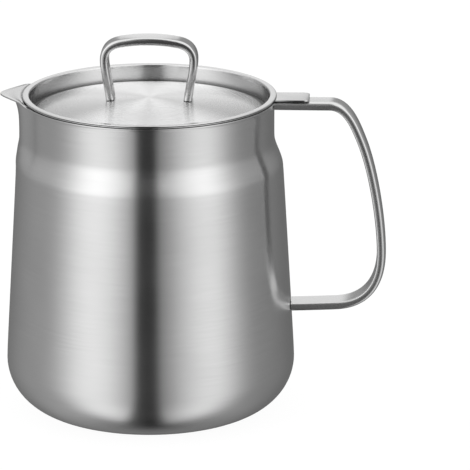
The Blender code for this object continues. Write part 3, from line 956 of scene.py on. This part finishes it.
class StrainerTabOperator(Operator):
    """Cut the tab's plate, round its corners and fit it to the strainer's rim."""

    bl_idname = "jug.strainer_tab"
    bl_label = "Strainer tab"

    def execute(self, context):
        sizes, finish = sizes_and_finish(context)
        rim = PAN_HIGH.y - sizes.rim_recess + sizes.weld_gap
        start = rim - TRIM_OVERRUN
        size = Vector((TAB_HIGH.x - start, TAB_HIGH.y - TAB_LOW.y, TAB_HIGH.z - TAB_LOW.z))
        centre = ((TAB_HIGH.x + start) / 2, 0.0, (TAB_HIGH.z + TAB_LOW.z) / 2)
        bpy.ops.mesh.primitive_cube_add(size=1.0, location=centre, scale=size)
        piece = context.active_object
        bpy.ops.object.transform_apply()
        bpy.ops.object.mode_set(mode="EDIT")
        bpy.ops.mesh.select_mode(type="EDGE")
        bpy.ops.mesh.select_all(action="DESELECT")
        bpy.ops.object.mode_set(mode="OBJECT")
        for edge in piece.data.edges:
            ends = [piece.data.vertices[index].co for index in edge.vertices]
            upright = abs(ends[0].z - ends[1].z) > size.z / 2
            edge.select = upright and ends[0].x > rim
        bpy.ops.object.mode_set(mode="EDIT")
        bpy.ops.mesh.bevel(offset=size.y * TAB_CORNER_SHARE, segments=TAB_CORNER_STEPS)
        bpy.ops.object.mode_set(mode="OBJECT")
        profile = [(rim, TAB_LOW.z - TRIM_OVERRUN), (rim, TAB_HIGH.z + TRIM_OVERRUN)]
        trim(piece, stack_rings("rim_clearance", profile, sizes.columns * 2))
        round_edges(piece, size.z * TAB_ROUNDING, PLATE_SEGMENTS)
        shade_smooth(piece)
        colour, roughness = finish.tab_colour, finish.bar_roughness
        material = drawn_steel("tab_steel", finish, colour, roughness)
        finish_piece(piece, "strainer_tab", "strainer", material)
        return {"FINISHED"}


class LidDishOperator(Operator):
    """Draw the lid from its rim down the wall, round the groove and over the dome."""

    bl_idname = "jug.lid_dish"
    bl_label = "Lid dish"

    def execute(self, context):
        sizes, finish = sizes_and_finish(context)
        piece = stack_rings("lid", lid_profile(sizes), sizes.columns)
        thicken(piece, sizes.lid_sheet)
        round_sheet(piece, sizes.lid_sheet)
        material = steel(
            "brushed_lid",
            finish.lid_colour,
            finish.lid_roughness,
            turned_lines(finish.line_width),
            finish.lid_grain,
            # The groove gets painted shade and rougher steel
            rough_and_shaded=lid_groove,
            # The wall and rim get painted shade and finer, glossier lines
            glossy_and_shaded=lid_wall,
        )
        finish_piece(piece, "lid_dish", "lid", material)
        return {"FINISHED"}


class LidBailOperator(Operator):
    """Bend the bail's bar and trim its feet to the dome."""

    bl_idname = "jug.lid_bail"
    bl_label = "Lid bail"

    def execute(self, context):
        sizes, finish = sizes_and_finish(context)
        size = (sizes.bail_half_span, sizes.bail_rise)
        half = scaled_knots(BAIL_KNOT_SHARES, (0.0, LID_HIGH.z), size)
        mirrored = []
        for place, way_in, way_out in reversed(half[:-1]):
            flipped = [(-across, height) for across, height in (place, way_out, way_in)]
            mirrored.append(tuple(flipped))
        thickness, width = sizes.bail_thickness, sizes.bail_width
        bar = bent_bar("bail", half + mirrored, thickness, width, BAIL_SQUARENESS)
        lift = sizes.lid_sheet + sizes.weld_gap
        groove_edge = sizes.neck_radius - sizes.groove_radius * 2
        dome = [point for point in lid_profile(sizes) if point[0] < groove_edge]
        profile = [(radius, height + lift) for radius, height in dome]
        foot = (profile[0][0], profile[0][1] - sizes.strainer_depth)
        trim(bar, stack_rings("dome_clearance", [foot] + profile, sizes.columns))
        shade_smooth(bar)
        colour, roughness = finish.bar_colour, finish.bar_roughness
        material = drawn_steel("polished_bail", finish, colour, roughness)
        finish_piece(bar, "lid_bail", "lid", material)
        return {"FINISHED"}


# The studio that the steel mirrors. Azimuths go round from the camera to the handle's side,
# and heights are angles above the horizon. Each light: azimuth, how narrow it is, strength.
LIGHTS = (
    (-51, 9, 0.93),
    (-27, 20, 0.28),
    (-105, 3, 0.23),
    (51, 10, 0.86),
    (25, 20, 0.23),
    (100, 4, 0.14),
)
ROOM_STRENGTH = 0.17
NEAR_ZERO = 0.00002
# The lights fade towards straight down, and stay full towards straight up
FLOOR_SPREAD = 1.55
UPPER_SPREAD = 2.0
# What the steel mirrors of the lit floor, strongest well below the horizon
GLOW_NARROWNESS = 8
GLOW_STRENGTH = 1.5
# How much stronger the lights are above the horizon
UPPER_GAIN = 0.45
UPPER_START = -12
UPPER_FULL = 15
# The ceiling over the jug
CEILING_STRENGTH = 1.25
CEILING_START = 26
CEILING_FULL = 48
# The white backdrop behind the jug, which gloss shows
BACKDROP_HALF_WIDTH = 2
BACKDROP_FADE = 6
BACKDROP_LOW = -17
BACKDROP_FULL = -8
BACKDROP_TOP = 36
BACKDROP_END = 44
# The softer light round the backdrop
BACK_LOW = -7
BACK_FULL = 4
BACK_NARROWNESS = 2
BACK_STRENGTH = 0.10
# The black flag on the camera's side, which gives the dark band down the middle
FLAG_PLACE = -0.055
FLAG_HALF_WIDTH = 0.09
FLAG_EDGE = 0.22
FLAG_END = -0.05
FLAG_FULL = 0.12
FLAG_SHARE = 0.85
# The floor lies just under the base and glows to the camera
FLOOR_DROP = 0.0002
FLOOR_GLOW = 1.05
FLOOR_GLOW_SHARE = 0.90
# The camera, fitted to the photo
PHOTO_PIXELS = 470
FOCAL_PIXELS = 4000
SENSOR_WIDTH = 36.0
TARGET_PIXEL = (150.27, 249.5)
TARGET_HEIGHT = 0.07796


class StageOperator(Operator):
    """Set the studio round the jug, the floor and the camera."""

    bl_idname = "jug.stage"
    bl_label = "Stage"

    def execute(self, context):
        stage = context.scene.jug_stage
        self.set_world(context.scene, stage)
        self.set_floor(stage)
        self.set_camera(context.scene, stage)
        context.scene.view_settings.view_transform = "Standard"
        return {"FINISHED"}

    def set_world(self, scene, stage):
        """Light the jug with softboxes and show plain white to the camera."""
        world = bpy.data.worlds.new("studio")
        builder = Builder(world)
        ray = builder.add("ShaderNodeTexCoord", output="Generated")
        x = builder.add("ShaderNodeSeparateXYZ", None, {0: ray}, "X")
        y, z = x.output("Y"), x.output("Z")
        level = (x * x + y * y + NEAR_ZERO) ** 0.5

        def facing(azimuth):
            turned = math.radians(azimuth) + stage.azimuth
            return (x * math.sin(turned) - y * math.cos(turned)) / level

        def panel(azimuth, half_width, fade):
            outer = math.cos(math.radians(half_width + fade))
            return facing(azimuth).between(outer, math.cos(math.radians(half_width)))

        def above(start, full):
            return z.between(math.sin(math.radians(start)), math.sin(math.radians(full)))

        light = ROOM_STRENGTH
        for azimuth, narrowness, strength in LIGHTS:
            light = light + facing(azimuth).at_least(0.0) ** narrowness * strength
        spread = (level * FLOOR_SPREAD + z.at_least(0.0) * UPPER_SPREAD).at_most(1.0)
        light = light * spread * (above(UPPER_START, UPPER_FULL) * UPPER_GAIN + 1.0)
        glow = level * level * (0.0 - z).at_least(0.0) ** GLOW_NARROWNESS
        light = light + glow * GLOW_STRENGTH
        back = facing(180).at_least(0.0) ** BACK_NARROWNESS * BACK_STRENGTH
        light = light + back * above(BACK_LOW, BACK_FULL)
        ceiling = above(CEILING_START, CEILING_FULL)
        light = light * (1.0 - ceiling) + ceiling * CEILING_STRENGTH
        aside = x * math.cos(stage.azimuth) + y * math.sin(stage.azimuth) - FLAG_PLACE
        clear = (aside * aside) ** 0.5
        strip = 1.0 - clear.between(FLAG_HALF_WIDTH, FLAG_EDGE)
        strip = strip * (facing(0) * level).between(FLAG_END, FLAG_FULL)
        light = light * (1.0 - strip * FLAG_SHARE)
        plain = (1.0, 1.0, 1.0, 1.0)
        studio = builder.add("ShaderNodeBackground", None, {"Color": plain, "Strength": light})
        white = builder.add("ShaderNodeBackground", None, {"Color": plain, "Strength": 1.0})
        seen = builder.add("ShaderNodeLightPath", output="Is Camera Ray")
        mirrored = builder.add("ShaderNodeLightPath", output="Is Glossy Ray")
        backdrop = panel(180, BACKDROP_HALF_WIDTH, BACKDROP_FADE)
        backdrop = backdrop * above(BACKDROP_LOW, BACKDROP_FULL)
        backdrop = backdrop * (1.0 - above(BACKDROP_TOP, BACKDROP_END))
        sockets = {0: seen + mirrored * backdrop, 1: studio, 2: white}
        mixed = builder.add("ShaderNodeMixShader", None, sockets)
        builder.add("ShaderNodeOutputWorld", None, {"Surface": mixed})
        scene.world = world

    def set_floor(self, stage):
        """Lay a white floor that still takes a little of the jug's shadow."""
        place = (0.0, 0.0, -FLOOR_DROP)
        bpy.ops.mesh.primitive_plane_add(size=stage.floor_size, location=place)
        floor = bpy.context.active_object
        floor.name = "floor"
        floor.visible_glossy = False
        material = bpy.data.materials.new("floor_white")
        builder = Builder(material)
        shade = (stage.floor_grey,) * 3 + (1.0,)
        matt = builder.add("ShaderNodeBsdfDiffuse", None, {"Color": shade})
        glow = builder.add("ShaderNodeEmission", None, {"Strength": FLOOR_GLOW})
        seen = builder.add("ShaderNodeLightPath", output="Is Camera Ray")
        sockets = {0: seen * FLOOR_GLOW_SHARE, 1: matt, 2: glow}
        mixed = builder.add("ShaderNodeMixShader", None, sockets)
        builder.add("ShaderNodeOutputMaterial", None, {"Surface": mixed})
        floor.data.materials.append(material)

    def set_camera(self, scene, stage):
        """Look at the jug as the photo does."""
        target = Vector((0.0, 0.0, TARGET_HEIGHT))
        side, rise = stage.azimuth, stage.elevation
        back = Vector((
            math.sin(side) * math.cos(rise),
            -math.cos(side) * math.cos(rise),
            math.sin(rise),
        ))
        right = Vector((math.cos(side), math.sin(side), 0.0))
        up = back.cross(right)
        rolled_right = right * math.cos(stage.roll) - up * math.sin(stage.roll)
        rolled_up = right * math.sin(stage.roll) + up * math.cos(stage.roll)
        across = (PHOTO_PIXELS / 2 - TARGET_PIXEL[0]) / FOCAL_PIXELS
        down = (PHOTO_PIXELS / 2 - TARGET_PIXEL[1]) / FOCAL_PIXELS
        look = -back + rolled_right * across - rolled_up * down
        look.normalize()
        camera_right = look.cross(rolled_up).normalized()
        camera_up = camera_right.cross(look)
        turn = Matrix((camera_right, camera_up, -look)).transposed().to_4x4()
        bpy.ops.object.camera_add()
        camera = bpy.context.active_object
        camera.name = "photo_camera"
        camera.matrix_world = Matrix.Translation(target + back * stage.distance) @ turn
        camera.data.sensor_width = SENSOR_WIDTH
        camera.data.lens = FOCAL_PIXELS / PHOTO_PIXELS * SENSOR_WIDTH
        scene.camera = camera


class JugPanel(Panel):
    """Buttons for the jug's pieces and settings."""

    bl_idname = "VIEW3D_PT_jug"
    bl_label = "Grease strainer jug"
    bl_space_type = "VIEW_3D"
    bl_region_type = "UI"
    bl_category = "Jug"

    def draw(self, context):
        for operator in OPERATORS:
            self.layout.operator(operator.bl_idname)
        for group in (context.scene.jug_sizes, context.scene.jug_finish, context.scene.jug_stage):
            box = self.layout.box()
            for name in group.__annotations__:
                box.prop(group, name)


OPERATORS = (
    PotShellOperator,
    PotHandleOperator,
    StrainerPanOperator,
    StrainerNetOperator,
    StrainerRingOperator,
    StrainerTabOperator,
    LidDishOperator,
    LidBailOperator,
    StageOperator,
)
GROUPS = (
    ("jug_sizes", JugSizes),
    ("jug_finish", JugFinish),
    ("jug_stage", JugStage),
)


def register():
    """Register the classes and give each scene its settings."""
    for name, group in GROUPS:
        bpy.utils.register_class(group)
        setattr(bpy.types.Scene, name, PointerProperty(type=group))
    for operator in OPERATORS:
        bpy.utils.register_class(operator)
    bpy.utils.register_class(JugPanel)


def unregister():
    """Undo what register did."""
    bpy.utils.unregister_class(JugPanel)
    for operator in reversed(OPERATORS):
        bpy.utils.unregister_class(operator)
    for name, group in reversed(GROUPS):
        delattr(bpy.types.Scene, name)
        bpy.utils.unregister_class(group)


def main():
    """Model every piece and set the stage."""
    register()
    bpy.ops.jug.pot_shell()
    bpy.ops.jug.pot_handle()
    bpy.ops.jug.strainer_pan()
    bpy.ops.jug.strainer_net()
    bpy.ops.jug.strainer_ring()
    bpy.ops.jug.strainer_tab()
    bpy.ops.jug.lid_dish()
    bpy.ops.jug.lid_bail()
    bpy.ops.jug.stage()


if __name__ == "__main__":
    main()
